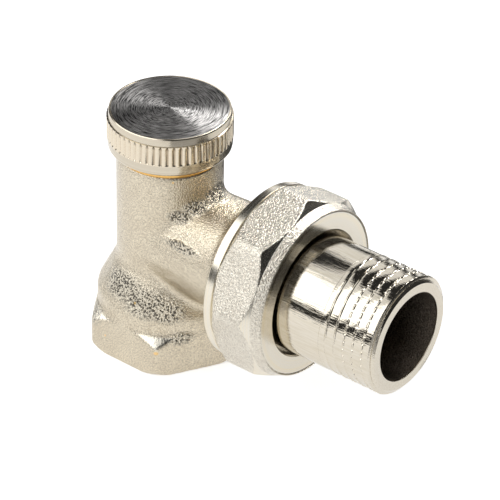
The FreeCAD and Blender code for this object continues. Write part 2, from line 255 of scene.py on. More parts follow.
# %% World and table
TENT_AS_LIGHT = 0.55
TABLE_COLOUR = 0.93
TABLE_GLOW_IN_REFLECTIONS = 0.44
TABLE_GLOW_FOR_CAMERA = 0.6
TABLE_HALF_SIZE = 3.0


def seen_directly(tree):
    """One for rays of the camera, of reflections and of glass, and nothing for light."""
    rays = add_node(tree, "LightPath").outputs
    names = ("Is Camera Ray", "Is Glossy Ray", "Is Transmission Ray")
    return most_of(tree, [rays[name] for name in names])


world = bpy.data.worlds.new("white_tent")
bpy.context.scene.world = world
world.use_nodes = True
tree = world.node_tree
background = tree.nodes["Background"]
background.inputs["Color"].default_value = (1, 1, 1, 1)
strength = shifted_range(tree, seen_directly(tree), 0, 1, TENT_AS_LIGHT, 1)
tree.links.new(strength, background.inputs["Strength"])

bm = bmesh.new()
bmesh.ops.create_grid(bm, x_segments=1, y_segments=1, size=TABLE_HALF_SIZE)
table = mesh_object("table", bm)
pale_table, tree = new_material("pale_table")
surface = add_node(tree, "BsdfDiffuse", {"Color": (*(TABLE_COLOUR,) * 3, 1)})
for_camera = add_node(tree, "LightPath").outputs["Is Camera Ray"]
share = shifted_range(
    tree, for_camera, 0, 1, TABLE_GLOW_IN_REFLECTIONS, TABLE_GLOW_FOR_CAMERA,
)
strength = math_node(tree, "MULTIPLY", share, seen_directly(tree))
glow = add_node(tree, "Emission", {"Strength": strength})
show(tree, add_node(tree, "AddShader", {0: surface.outputs[0], 1: glow.outputs[0]}))
table.data.materials.append(pale_table)
bpy.context.scene.view_settings.view_transform = "Standard"
print("world", world.name, "and", table.name, "are set")

# %% [markdown]
# ## The grain of a blasted surface
# Three effects give the surfaces their marks, and a fourth masks places. Each is a node
# group, built once and placed in each material with its own values. The forged surfaces
# were blasted, which leaves a fine grain of dents. A picture of grain would stretch over
# the curves, so noise in the piece's own space makes it. Where the blasting hit harder,
# coarser dents are added, and some of them are picked out as specks, which the forging's
# finish paints dark as reflections of the dark surroundings.

# %% Node group of the grain
COARSE_DENTS_PER_METRE = 3000.0
CLOUDS_PER_METRE = 260.0
CLOUD_SHARE = 0.15
SPECKS_START, SPECKS_FULL = 0.51, 0.55


def effect_group(name, inputs, outputs):
    """A node group with named sockets, with what its values are read from and written to."""
    tree = bpy.data.node_groups.new(name, "ShaderNodeTree")
    for label, kind, value in inputs:
        kind = "NodeSocket" + kind
        socket = tree.interface.new_socket(label, in_out="INPUT", socket_type=kind)
        socket.default_value = value
    for label, kind in outputs:
        tree.interface.new_socket(label, in_out="OUTPUT", socket_type="NodeSocket" + kind)
    return tree, tree.nodes.new("NodeGroupInput").outputs, tree.nodes.new("NodeGroupOutput").inputs


def noise(tree, place, scale, detail, roughness=0.5):
    """Noise between nothing and one at a place, with about scale lumps to the metre."""
    inputs = {"Vector": place, "Scale": scale, "Detail": detail, "Roughness": roughness}
    return add_node(tree, "TexNoise", inputs).outputs["Fac"]


grain, given, gives = effect_group(
    "blasted_grain",
    [("Dents per metre", "Float", 4200.0), ("Depth", "Float", 0.00002), ("Coarse", "Float", 0.0)],
    [("Normal", "Vector"), ("Tone", "Float"), ("Specks", "Float")],
)
place = add_node(grain, "TexCoord").outputs["Object"]
dents = noise(grain, place, given["Dents per metre"], detail=2.0, roughness=0.6)
coarse_dents = noise(grain, place, COARSE_DENTS_PER_METRE, detail=2.0)
coarse_share = math_node(grain, "MULTIPLY", coarse_dents, given["Coarse"])
height = math_node(grain, "ADD", dents, coarse_share)
bump = add_node(grain, "Bump", {"Distance": given["Depth"], "Height": height})
clouds = noise(grain, place, CLOUDS_PER_METRE, detail=4.0)
cloud_tone = math_node(grain, "MULTIPLY", clouds, CLOUD_SHARE)
dent_tone = math_node(grain, "MULTIPLY", dents, 1 - CLOUD_SHARE)
grain.links.new(bump.outputs["Normal"], gives["Normal"])
grain.links.new(math_node(grain, "ADD", cloud_tone, dent_tone), gives["Tone"])
specks = shifted_range(grain, coarse_dents, SPECKS_START, SPECKS_FULL)
grain.links.new(specks, gives["Specks"])
print(grain.name, "has", len(grain.nodes), "nodes")

# %% [markdown]
# ## The rings of a turned surface
# The machined surfaces were turned on a lathe, and the tool leaves rings about the turning
# axis. Rings are noise that depends only on the distance from the axis and the place along
# it. The axis stands upright, or lies along the branch. Real rings don't run all the way
# round, so where they are to break, the noise also moves a little with the angle.

# %% Node group of the rings
NEAR_AXIS = 0.1 * MM

rings, given, gives = effect_group(
    "turned_rings",
    [
        ("Centre", "Vector", (0, 0, 0)), ("Along branch", "Float", 0.0),
        ("Rings per metre", "Float", 5000.0), ("Depth", "Float", 0.000005),
        ("Break", "Float", 0.0),
    ],
    [("Normal", "Vector"), ("Tone", "Float")],
)


def blend_values(tree, share, low, high):
    """low where share is nothing and high where it is one."""
    return add_node(tree, "Mix", {"Factor": share, "A": low, "B": high}).outputs["Result"]


place = add_node(rings, "TexCoord").outputs["Object"]
from_centre = vector_math(rings, "SUBTRACT", place, given["Centre"])
x, y, z = add_node(rings, "SeparateXYZ", {"Vector": from_centre}).outputs
x_squared, y_squared, z_squared = (math_node(rings, "MULTIPLY", v, v) for v in (x, y, z))
along = blend_values(rings, given["Along branch"], z, x)
across = blend_values(rings, given["Along branch"], x_squared, z_squared)
radius = math_node(rings, "SQRT", math_node(rings, "ADD", across, y_squared))
not_nothing = math_node(rings, "MAXIMUM", radius, NEAR_AXIS)
# The angle is told by its cosine and sine, which have no seam
cosine, sine = (math_node(rings, "DIVIDE", v, not_nothing) for v in (x, y))
aside = [math_node(rings, "MULTIPLY", v, given["Break"]) for v in (cosine, sine)]
broken_along = math_node(rings, "ADD", along, aside[0])
on_profile = add_node(rings, "CombineXYZ", {"X": radius, "Y": broken_along, "Z": aside[1]})
tool_marks = noise(rings, on_profile.outputs[0], given["Rings per metre"], detail=2.0)
bump = add_node(rings, "Bump", {"Distance": given["Depth"], "Height": tool_marks})
rings.links.new(bump.outputs["Normal"], gives["Normal"])
rings.links.new(tool_marks, gives["Tone"])
print(rings.name, "has", len(rings.nodes), "nodes")

# %% [markdown]
# ## The streaks of a polished surface
# The tail was polished along its length, so its scratches run along the branch. Noise that
# is squeezed across them and drawn out along them gives fine parallel streaks.

# %% Node group of the streaks
STREAKS_PER_METRE = (260.0, 3600.0, 3600.0)

streaks, given, gives = effect_group(
    "polishing_streaks",
    [("Depth", "Float", 0.000002)],
    [("Normal", "Vector"), ("Tone", "Float")],
)
place = add_node(streaks, "TexCoord").outputs["Object"]
drawn_out = add_node(streaks, "Mapping", {"Vector": place, "Scale": STREAKS_PER_METRE})
scratches = noise(streaks, drawn_out.outputs[0], 1.0, detail=3.0)
bump = add_node(streaks, "Bump", {"Distance": given["Depth"], "Height": scratches})
streaks.links.new(bump.outputs["Normal"], gives["Normal"])
streaks.links.new(scratches, gives["Tone"])
print(streaks.name, "has", len(streaks.nodes), "nodes")

# %% [markdown]
# ## A mask for a place
# Some places differ from the rest of a piece: they sparkle, or show bare brass. A mask that
# fades from one to nothing about a point marks such a place without any painted picture.

# %% Node group of a soft zone
ZONE_FULL_WITHIN = 0.4

zone, given, gives = effect_group(
    "soft_zone",
    [("Centre", "Vector", (0, 0, 0)), ("Reach", "Vector", (0.01, 0.01, 0.01))],
    [("Mask", "Float")],
)
place = add_node(zone, "TexCoord").outputs["Object"]
from_centre = vector_math(zone, "SUBTRACT", place, given["Centre"])
in_reaches = vector_math(zone, "LENGTH", vector_math(zone, "DIVIDE", from_centre, given["Reach"]))
mask = shifted_range(
    zone, in_reaches, 1.0, ZONE_FULL_WITHIN, interpolation_type="SMOOTHSTEP",
)
zone.links.new(mask, gives["Mask"])


def zones(tree, places):
    """A mask of soft zones, each with a centre and a reach in millimetres."""
    masks = []
    for centre, reach in places:
        inputs = {"Centre": Vector(centre) * MM, "Reach": Vector(reach) * MM}
        masks.append(add_node(tree, "Group", inputs, node_tree=zone).outputs["Mask"])
    return most_of(tree, masks)


print("effects:", [tree.name for tree in bpy.data.node_groups])

# %% [markdown]
# ## The finishes
# Nickel is a metal, so its colour is the colour of its reflections: a warm, slightly yellow
# grey. One flat grey looks like plastic, so each finish runs between two colours and two
# roughnesses, and the tone of its effect picks the mix. Blasted, turned and polished nickel
# differ in roughness and relief, and by a little in colour. Bare brass shows at the bonnet,
# which isn't plated.

# %% A metal with an effect placed in it
def tinted(tree, tone, start, end, dark, light):
    """A colour from dark to light, as the tone goes from start to end."""
    # The inputs of a Map Range for vectors come after its six plain ones
    inputs = {6: tone, 7: (start,) * 3, 8: (end,) * 3, 9: dark, 10: light}
    return add_node(tree, "MapRange", inputs, data_type="FLOAT_VECTOR").outputs[1]


def metal(name, colours, roughness, effect, settings, spread=(0.35, 0.65)):
    """A metal between two colours and two roughnesses, which the effect's tone picks."""
    material, tree = new_material(name)
    placed = add_node(tree, "Group", settings, node_tree=effect).outputs
    shader = add_node(tree, "BsdfPrincipled", {
        "Metallic": 1.0,
        "Base Color": tinted(tree, placed["Tone"], *spread, *colours),
        "Roughness": shifted_range(tree, placed["Tone"], *spread, *roughness),
        "Normal": placed["Normal"],
    })
    show(tree, shader)
    print(name, "roughness", roughness)
    return material


def of_kind(tree, kind):
    """The first node of a kind in a tree."""
    return next(node for node in tree.nodes if node.type == kind)


def stain(tree, mask, colour):
    """Mix a colour into the base colour where the mask is one."""
    base = of_kind(tree, "BSDF_PRINCIPLED").inputs["Base Color"]
    inputs = {"Factor": mask, "A": base.links[0].from_socket, "B": (*colour, 1)}
    mixed = add_node(tree, "Mix", inputs, data_type="RGBA")
    tree.links.new(mixed.outputs["Result"], base)


# %% [markdown]
# ## Blasted nickel on the forging
# The body was forged, blasted and plated, so its finish is a grain of dents with clouds in
# it. Near the bends the blasting hit harder: the grain is coarser there and lighter, and
# dark specks are painted into it, painted reflections of the dark surroundings in its dents.
# The lathe that cut the hexagon's corners left them smooth and bright. A few specks are
# worn down to the brass.

# %% The forging's finish
NICKEL = (0.76, 0.69, 0.55)
NICKEL_DENT = (0.50, 0.43, 0.33)
NICKEL_STRUCK = (0.84, 0.80, 0.69)
NICKEL_CUT = (0.84, 0.79, 0.68)
DARK_SPECK_REFLECTION = (0.03, 0.026, 0.022)
WORN_BRASS = (0.82, 0.58, 0.26)
GRAIN_DEPTH = 0.14 * MM
COARSER_WHERE_STRUCK = 3.5
LIGHTER_WHERE_STRUCK = 0.35
SPECK_REFLECTION_STRENGTH = 0.88

nickel_blasted = metal(
    "nickel_blasted", (NICKEL_DENT, NICKEL), (0.2, 0.14), grain,
    {"Dents per metre": 4000.0, "Depth": GRAIN_DEPTH},
)
tree = nickel_blasted.node_tree
grained = of_kind(tree, "GROUP")
struck = zones(tree, (
    ((-2.0, -10.8, 14.4), (6.8, 6.0, 3.4)),
    ((3.6, -10.4, 12.9), (6.4, 6.0, 3.4)),
    ((7.2, -9.2, 12.0), (3.6, 5.0, 2.6)),
    ((9.5, -8.3, 26.0), (5.0, 2.4, 1.1)),
    ((6.9, -5.8, 29.8), (2.6, 2.8, 1.4)),
    ((8.4, -3.4, 31.3), (2.6, 3.4, 1.6)),
    ((9.4, 0.8, 32.2), (3.0, 3.6, 1.8)),
    ((10.2, -8.6, 7.2), (3.0, 3.0, 1.6)),
    ((-7.2, -11.5, 6.8), (3.0, 4.0, 2.2)),
))
coarse = math_node(tree, "MULTIPLY", struck, COARSER_WHERE_STRUCK)
tree.links.new(coarse, grained.inputs["Coarse"])
speck_reflections = math_node(tree, "MULTIPLY", struck, grained.outputs["Specks"])
stain(tree, math_node(tree, "MULTIPLY", struck, LIGHTER_WHERE_STRUCK), NICKEL_STRUCK)
# Painted reflections: dark specks in the coarse dents stand for the dark surroundings they reflect
stain(tree, math_node(tree, "MULTIPLY", speck_reflections, SPECK_REFLECTION_STRENGTH), DARK_SPECK_REFLECTION)
print("places struck harder:", sum(node.type == "GROUP" for node in tree.nodes) - 1)

# %% The cut corners of the hexagon
FLATS_AT = (30, 90, 150)
FLAT_TO_CUT = (12.42 * MM, 12.2 * MM)
DRUM_TO_CUT = (7.7 * MM, 7.3 * MM)
EDGE_TO_CUT = (5.1 * MM, 5.6 * MM)
CORNER_CUT_DEPTH = 0.03 * MM

# On a cut corner a point is nearer to the axis than the flats are
place = add_node(tree, "TexCoord").outputs["Object"]
flats = []
for turned_by in FLATS_AT:
    across = vector_math(tree, "DOT_PRODUCT", place, direction(turned_by, 0))
    flats.append(math_node(tree, "ABSOLUTE", across))
off_the_flats = shifted_range(tree, most_of(tree, flats), *FLAT_TO_CUT)
height = add_node(tree, "SeparateXYZ", {"Vector": place}).outputs["Z"]
below_the_drum = shifted_range(tree, height, *DRUM_TO_CUT)
above_the_edge = shifted_range(tree, height, *EDGE_TO_CUT)
at_height = math_node(tree, "MULTIPLY", below_the_drum, above_the_edge)
cut_corners = math_node(tree, "MULTIPLY", off_the_flats, at_height)
depth = shifted_range(tree, cut_corners, 0, 1, GRAIN_DEPTH, CORNER_CUT_DEPTH)
tree.links.new(depth, grained.inputs["Depth"])
stain(tree, cut_corners, NICKEL_CUT)
stain(tree, zones(tree, (
    ((7.2, -12.3, 5.2), (0.6, 0.6, 0.45)),
    ((1.7, -11.3, 12.7), (0.3, 0.4, 0.3)),
    ((6.2, -6.7, 36.6), (0.25, 0.3, 0.3)),
    ((-4.0, -12.4, 4.0), (0.25, 0.4, 0.3)),
)), WORN_BRASS)
print("nodes in the forging's finish:", len(tree.nodes))

# %% [markdown]
# ## The other metals
# The nut was blasted too, but its plating is whiter and its grain a little larger. What was
# turned has rings, and the tail's polish has streaks. Inside the tail the metal is dark, dull
# and rough.

# %% Nut, turned and polished nickel, and bare brass
BRANCH_HEIGHT = 22 * MM
ABOUT_BRANCH = {"Centre": (0.0, 0.0, BRANCH_HEIGHT), "Along branch": 1.0}
NICKEL_COOL = (0.76, 0.72, 0.64)
NICKEL_NUT, NICKEL_NUT_DENT = (0.80, 0.76, 0.67), (0.55, 0.50, 0.42)
NICKEL_TURNED, NICKEL_TURNED_BRIGHT = (0.58, 0.515, 0.41), (0.63, 0.575, 0.475)
NICKEL_KNURL, NICKEL_KNURL_BRIGHT = (0.71, 0.62, 0.48), (0.76, 0.68, 0.55)
NICKEL_POLISHED, NICKEL_POLISHED_BRIGHT = (0.63, 0.575, 0.47), (0.69, 0.64, 0.55)
BORE_DARK, BORE_LIGHT = (0.10, 0.082, 0.064), (0.32, 0.27, 0.22)
BRASS, BRASS_DEEP = (0.80, 0.49, 0.17), (0.80, 0.46, 0.12)
FINE_RINGS = {"Rings per metre": 5000.0, "Depth": 0.003 * MM}

nickel_nut = metal(
    "nickel_nut", (NICKEL_NUT_DENT, NICKEL_NUT), (0.22, 0.14), grain,
    {"Dents per metre": 3300.0, "Depth": 0.2 * MM},
)
nickel_polished = metal(
    "nickel_polished", (NICKEL_POLISHED, NICKEL_POLISHED_BRIGHT), (0.05, 0.12), streaks,
    {"Depth": 0.03 * MM},
)
nickel_turned = metal(
    "nickel_turned", (NICKEL_TURNED, NICKEL_TURNED_BRIGHT), (0.12, 0.2), rings, FINE_RINGS,
)
nickel_turned_branch = metal(
    "nickel_turned_branch", (NICKEL, NICKEL_COOL), (0.16, 0.26), rings,
    {**ABOUT_BRANCH, "Rings per metre": 5500.0, "Depth": 0.004 * MM},
)
nickel_bore = metal(
    "nickel_bore", (BORE_DARK, BORE_LIGHT), (0.4, 0.55), grain,
    {"Dents per metre": 4200.0, "Depth": 0.12 * MM},
)
bare_brass = metal(
    "bare_brass", (BRASS, BRASS_DEEP), (0.22, 0.34), rings,
    {"Rings per metre": 4000.0, "Depth": 0.004 * MM},
)

# %% [markdown]
# ## The cap's turned top
# The top of the cap was faced on the lathe, and its fine rings stretch each highlight across
# themselves, which gives the bright wedges. Bump alone can't do that with rings narrower
# than a pixel, so the shader is anisotropic, and its tangent runs round the axis. The
# coarser rings are drawn by the same effect as on the other turned faces. The tool left each
# ring leaning outwards a little, so one side of the top shines more.

# %% The top's finish
TOP_DARK, TOP_LIGHT = (0.006, 0.0058, 0.0056), (0.36, 0.35, 0.34)
TOP_SPREAD = (0.42, 0.58)
RINGS_LEAN = 0.17

turned_top, tree = new_material("turned_top")
inputs = {"Rings per metre": 13000.0, "Depth": 0.008 * MM, "Break": 0.3 * MM}
marks = add_node(tree, "Group", inputs, node_tree=rings).outputs
place = add_node(tree, "TexCoord").outputs["Object"]
outwards = vector_math(tree, "NORMALIZE", vector_math(tree, "MULTIPLY", place, (1, 1, 0)))
leaning = vector_math(tree, "MULTIPLY_ADD", outwards, (RINGS_LEAN,) * 3, marks["Normal"])
round_the_axis = add_node(tree, "Tangent", direction_type="RADIAL", axis="Z").outputs[0]
shader = add_node(tree, "BsdfPrincipled", {
    "Metallic": 1.0, "Roughness": 0.4, "Anisotropic": 0.9, "Anisotropic Rotation": 0.25,
    "Base Color": tinted(tree, marks["Tone"], *TOP_SPREAD, TOP_DARK, TOP_LIGHT),
    "Normal": leaning, "Tangent": round_the_axis,
})
show(tree, shader)
print(turned_top.name, "has", len(tree.nodes), "nodes")

# %% [markdown]
# ## The knurl's finish
# Between the teeth the plating is dull, and the gaps are darkened, partly by dirt and
# partly by painted shade: brown, more so on the front right, and nearly black where the
# gaps end, which is painted shade. How deep a point lies in a gap follows from its distance
# from the axis, so that distance makes the mask.

# %% Dirt and painted shade between the teeth
GAP_DIRT_AND_SHADE = (0.26, 0.18, 0.1)
GAP_END_SHADE = (0.03, 0.024, 0.02)
LEAST_DIRT_AND_SHADE, MORE_DIRT_AND_SHADE_ON_SIDE = 0.05, 0.6
DIRTY_AND_SHADED_SIDE = ((8.6, -7.4, 42.5), (9.5, 9.5, 6.0))
TOOTH_TO_GAP = (10.58 * MM, 10.47 * MM)
GAP_TO_GAP_END = (43.6 * MM, 44.3 * MM)

nickel_knurl = metal(
    "nickel_knurl", (NICKEL_KNURL, NICKEL_KNURL_BRIGHT), (0.14, 0.22), rings, FINE_RINGS,
)
tree = nickel_knurl.node_tree
place = add_node(tree, "TexCoord").outputs["Object"]
from_axis = vector_math(tree, "LENGTH", vector_math(tree, "MULTIPLY", place, (1, 1, 0)))
in_gap = shifted_range(tree, from_axis, *TOOTH_TO_GAP)
height = add_node(tree, "SeparateXYZ", {"Vector": place}).outputs["Z"]
near_gap_end = shifted_range(tree, height, *GAP_TO_GAP_END)
more_dirt_and_shade_on_side = math_node(tree, "MULTIPLY", zones(tree, (DIRTY_AND_SHADED_SIDE,)), MORE_DIRT_AND_SHADE_ON_SIDE)
dirt_and_shade_in_gaps = math_node(tree, "ADD", more_dirt_and_shade_on_side, LEAST_DIRT_AND_SHADE)
# Dirt and painted shade in the gaps, more of it on the front right
stain(tree, math_node(tree, "MULTIPLY", in_gap, dirt_and_shade_in_gaps), GAP_DIRT_AND_SHADE)
# Painted shade: nearly black where the gaps end
stain(tree, math_node(tree, "MULTIPLY", in_gap, near_gap_end), GAP_END_SHADE)
print("nodes in the knurl's finish:", len(tree.nodes))

# %% [markdown]
# ## Rubber
# The seals are black rubber. They are hidden until the valve is taken apart, so a fine
# shallow grain and a changing dullness are enough.

# %% The seals' finish
seal_rubber, tree = new_material("seal_rubber")
inputs = {"Dents per metre": 9000.0, "Depth": 0.004 * MM}
placed = add_node(tree, "Group", inputs, node_tree=grain).outputs
shader = add_node(tree, "BsdfPrincipled", {
    "Base Color": (0.018, 0.018, 0.02, 1),
    "Roughness": shifted_range(tree, placed["Tone"], 0, 1, 0.45, 0.7),
    "Normal": placed["Normal"],
})
show(tree, shader)
print("materials:", len(bpy.data.materials))

# %% [markdown]
# ## Turning a piece
# Most pieces came off a lathe, so they are made as on one: an outline is drawn as a closed
# wire, its corners are rounded with a vertex bevel, and spinning turns it round its axis.
# One sector is spun and then copied round, because a spin of a fine outline in several
# hundred steps is slow. Relief that isn't round, such as flats, teeth and threads, is made
# by a rule that moves each point nearer to the axis or away from it. That keeps the mesh one
# closed skin, which cutting with other meshes often doesn't.

# %% The lathe
SECTORS = 20
BEND_SEGMENTS = 5
SAME_POINT = 0.001 * MM


def turn(corners, steps, spacing, divided):
    """Turn a closed outline of (along, radius, rounding) in millimetres about +Z.
    Stretches of it for which divided(along, radius) holds are divided to the spacing."""
    bm = bmesh.new()
    verts = [bm.verts.new((corner[1] * MM, 0, corner[0] * MM)) for corner in corners]
    for index, vert in enumerate(verts):
        bm.edges.new((verts[index - 1], vert))
    for vert, corner in zip(verts, corners):
        if len(corner) > 2:
            ends = [edge.other_vert(vert).co - vert.co for edge in vert.link_edges]
            reach = corner[2] * MM / math.tan(ends[0].angle(ends[1]) / 2)
            bmesh.ops.bevel(
                bm, geom=[vert], offset=reach, affect="VERTICES",
                segments=BEND_SEGMENTS, profile=0.5, material=-1,
            )
    for edge in list(bm.edges):
        cuts = int(edge.calc_length() / (spacing * MM))
        x, _, z = (edge.verts[0].co + edge.verts[1].co) / 2
        if cuts and divided(z / MM, x / MM):
            bmesh.ops.subdivide_edges(bm, edges=[edge], cuts=cuts)
    bmesh.ops.spin(
        bm, geom=bm.verts[:] + bm.edges[:], cent=(0, 0, 0), axis=(0, 0, 1),
        angle=math.tau / SECTORS, steps=steps // SECTORS,
    )
    sector = bm.verts[:] + bm.edges[:] + bm.faces[:]
    for index in range(1, SECTORS):
        copy = bmesh.ops.duplicate(bm, geom=sector)["geom"]
        points = [item for item in copy if isinstance(item, bmesh.types.BMVert)]
        further = Matrix.Rotation(index * math.tau / SECTORS, 3, "Z")
        bmesh.ops.rotate(bm, cent=(0, 0, 0), matrix=further, verts=points)
    bmesh.ops.remove_doubles(bm, verts=bm.verts, dist=SAME_POINT)
    bmesh.ops.recalc_face_normals(bm, faces=bm.faces)
    return bm


print("a full turn is", SECTORS, "sectors of", 360 / SECTORS, "degrees")

# %% Relief by a rule
def set_radius(vert, radius, wanted):
    """Move a point straight out from the axis, or in, from one radius to another."""
    vert.co.x *= wanted / radius
    vert.co.y *= wanted / radius


def reshape(bm, rule):
    """Give every point the radius in millimetres that the rule returns for its place."""
    for vert in bm.verts:
        x, y, z = vert.co
        radius = math.hypot(x, y) / MM
        if radius > 0.01:
            set_radius(vert, radius, rule(z / MM, radius, math.atan2(y, x)))


def ramp(value, start, end):
    """Nothing before start, one after end, and a straight rise between."""
    return min(1.0, max(0.0, (value - start) / (end - start)))


print("half way up, a ramp is at", ramp(2.5, 2, 3))

# %% [markdown]
# ## Giving a piece its place and finish
# A turned piece stands on the axis it was turned about: the valve's own, or the branch's. Its
# place goes into its mesh and the object stays at the origin, so that patterns in the
# piece's own space line up with the valve. Each piece then rides on the body that moves it,
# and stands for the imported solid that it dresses.

# %% Helpers for finished pieces
UPRIGHT = Matrix.Identity(4)
ON_BRANCH = Matrix.Translation((0, 0, BRANCH_HEIGHT)) @ Matrix.Rotation(math.radians(90), 4, "Y")


def finish_piece(name, bm, placing, material, node, body, shade_angle=30):
    """Put a piece in its place, smooth it, and let it stand for its CAD node."""
    bmesh.ops.transform(bm, matrix=placing, verts=bm.verts)
    triangles = sum(len(face.verts) - 2 for face in bm.faces)
    piece = mesh_object(name, bm)
    piece.data.materials.append(material)
    piece.data.shade_smooth()
    piece.data.set_sharp_from_angle(angle=math.radians(shade_angle))
    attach(piece, body)
    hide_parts(node)
    print(name, triangles, "triangles")
    return piece


def from_branch(y, z):
    """Distance from the branch's axis of a place in millimetres."""
    return math.hypot(y, z - BRANCH_HEIGHT / MM)


def other_finish(piece, material, holds):
    """Another finish for the faces whose centre, in millimetres, makes holds(x, y, z) true."""
    piece.data.materials.append(material)
    faces = [face for face in piece.data.polygons if holds(*(face.center / MM))]
    for face in faces:
        face.material_index = len(piece.data.materials) - 1
    print(piece.name, "has", material.name, "on", len(faces), "faces")


print("the base is", round(from_branch(0, 0), 2), "mm below the axis of the branch")

# %% [markdown]
# ## The tail
# The tail is turned and polished, and its thread is shallow: wide round valleys between
# narrow crests, with small notches rolled across the crests that help sealing tape to grip.
# A thread could be swept along a helix, but the rule is shorter: the share of a turn at each
# point tells how far it is from a crest.

# %% Tail outline and thread rule
PIPE_PITCH = 1.814
TAIL_RADIUS = 10.42
TAIL_BORE = 7.79
THREAD_RADIUS = 10.47
SMOOTH_UNTIL = 38.5
THREAD_FROM = 39.9
THREAD_TO = 49.85
THREAD_SLOPE = 0.6
CREST_HALF_WIDTH = 0.045
CREST_EDGE = 0.06
VALLEY_STEP = 0.12
VALLEY_DEPTH = 0.17
NOTCHES = 50
NOTCHES_FROM = 43.5
NOTCH_DEPTH = 0.15
NOTCH_SHIFT = 2.4

tail_outline = [
    (21.6, TAIL_BORE), (21.6, 8.52), (25.5, 10.77, 0.3), (25.9, 10.77), (25.9, 11.96, 0.2),
    (28.3, 11.96, 0.2), (28.3, TAIL_RADIUS), (39.7, TAIL_RADIUS), (THREAD_FROM, 10.46),
    (THREAD_TO, 10.46, 0.1), (50.02, 10.2), (50.1, 9.95), (50.2, 9.97), (50.3, 9.75),
    (50.6, 9.46, 0.08), (50.6, 7.85, 0.06), (50.3, TAIL_BORE),
]


def tail_rule(along, radius, angle):
    """Radius of the tail's outside at a place, with the thread cut into it."""
    if radius < 9.9 or along < SMOOTH_UNTIL or along > THREAD_TO:
        return radius
    share = (along / PIPE_PITCH - angle / math.tau) % 1.0
    from_crest = min(share, 1.0 - share)
    step = ramp(from_crest, CREST_HALF_WIDTH, CREST_HALF_WIDTH + CREST_EDGE)
    across = 1.0 - (1.0 - ramp(from_crest, CREST_HALF_WIDTH, 0.5)) ** 2
    depth = VALLEY_STEP * step + (VALLEY_DEPTH - VALLEY_STEP) * across
    if along > NOTCHES_FROM:
        notch = math.cos(NOTCHES * angle + NOTCH_SHIFT * math.floor(along / PIPE_PITCH))
        depth = max(depth, NOTCH_DEPTH * ramp(notch, 0.35, 0.75))
    depth *= ramp(along, THREAD_FROM - THREAD_SLOPE, THREAD_FROM + THREAD_SLOPE)
    crest = THREAD_RADIUS if along > THREAD_FROM else TAIL_RADIUS
    return min(radius, crest) - depth


print("thread from", THREAD_FROM, "to", THREAD_TO, "mm along the branch")

# %% Turn the tail
bm = turn(tail_outline, 460, 0.085, lambda along, radius: 39.7 < along < 49.9 and radius > 9)
reshape(bm, tail_rule)
tail = finish_piece(
    "tail_with_thread", bm, ON_BRANCH, nickel_polished, "tailpiece", "tail"
)
other_finish(tail, nickel_bore, lambda x, y, z: from_branch(y, z) < TAIL_BORE + 0.01)

# %% [markdown]
# ## The union nut
# The nut is forged as an octagon and then machined: a round band at the back, cones that
# cut the corners, a slightly conical collar in front and a thread inside. It could be a
# turned piece cut by an octagonal prism. The rule does the same without a cut: a real corner
# is where flat and cone meet, so the radius at each point is the smaller of the octagon's
# and the turned outline's, with the bend between the two softened a little.

# %% The nut's outline and its octagon
NUT_FLATS = 31.0
NUT_SIDES = 8
NUT_CORNER_ROUNDING = 2.0
NUT_TURNED_BY = 41.2
NUT_BAND_END = 21.7
NUT_COLLAR_FROM = 29.66

nut_outline = [
    (20.1, 13.75), (20.1, 15.6, 0.12), (21.6, 15.68, 0.05), (21.66, 15.52), (21.74, 15.56),
    (22.95, 16.65), (28.25, 16.65), (NUT_COLLAR_FROM, 15.36, 0.1), (31.3, 14.76, 0.05),
    (31.3, 14.64), (31.1, 14.56), (31.22, 14.36), (31.22, 11.4, 0.08), (30.95, 11.15, 0.08),
    (28.35, 11.1), (28.35, 13.28), (20.55, 13.28),
]


def octagon_radius(angle):
    """Distance from the axis to the octagon's outline, whose corners are rounded."""
    flat = NUT_FLATS / 2
    half_side = math.pi / NUT_SIDES
    middle = math.radians(NUT_TURNED_BY) + half_side
    from_middle = (angle - middle + half_side) % (2 * half_side) - half_side
    centre = (flat - NUT_CORNER_ROUNDING) / math.cos(half_side)
    from_corner = half_side - abs(from_middle)
    aside = centre * math.sin(from_corner)
    if aside > NUT_CORNER_ROUNDING * math.sin(half_side):
        return flat / math.cos(from_middle)
    return centre * math.cos(from_corner) + math.sqrt(NUT_CORNER_ROUNDING**2 - aside**2)


print("nut across corners", round(2 * octagon_radius(math.radians(NUT_TURNED_BY)), 2), "mm")

# %% The nut's flats and thread
NUT_THREAD_DEPTH = 0.95
NUT_THREAD_REACH = (20.5, 21.2, 25.2, 26.0)
CONE_EDGE_SOFTNESS = 0.18


def thread_cut(along, angle, pitch, depth, reach):
    """How deep a right-hand thread is cut at a place: nothing at its crest, and the whole
    depth in its valley. reach says where it starts, is full, starts to end, and ends."""
    start, full, last, end = reach
    wave = 0.5 - 0.5 * math.cos(math.tau * (along / pitch - angle / math.tau))
    return depth * ramp(along, start, full) * (1 - ramp(along, last, end)) * wave


def softer_minimum(first, second, width):
    """The smaller of two values, with the bend between them spread over a width."""
    near = max(width - abs(first - second), 0.0) / width
    return min(first, second) - near * near * width / 4


def nut_rule(along, radius, angle):
    """Radius of the nut at a place, with its flats and its thread."""
    if 13.0 < radius < 14.0 and along < 26.5:
        return radius - thread_cut(
            along, angle, PIPE_PITCH, NUT_THREAD_DEPTH, NUT_THREAD_REACH
        )
    if radius < 14.0 or along < NUT_BAND_END or along > NUT_COLLAR_FROM + 0.05:
        return radius
    # The lathe's own angle starts at -Z on the branch, a quarter turn behind +Y
    return softer_minimum(octagon_radius(angle - math.pi / 2), radius, CONE_EDGE_SOFTNESS)


print("the nut's thread is", NUT_THREAD_DEPTH, "mm deep")

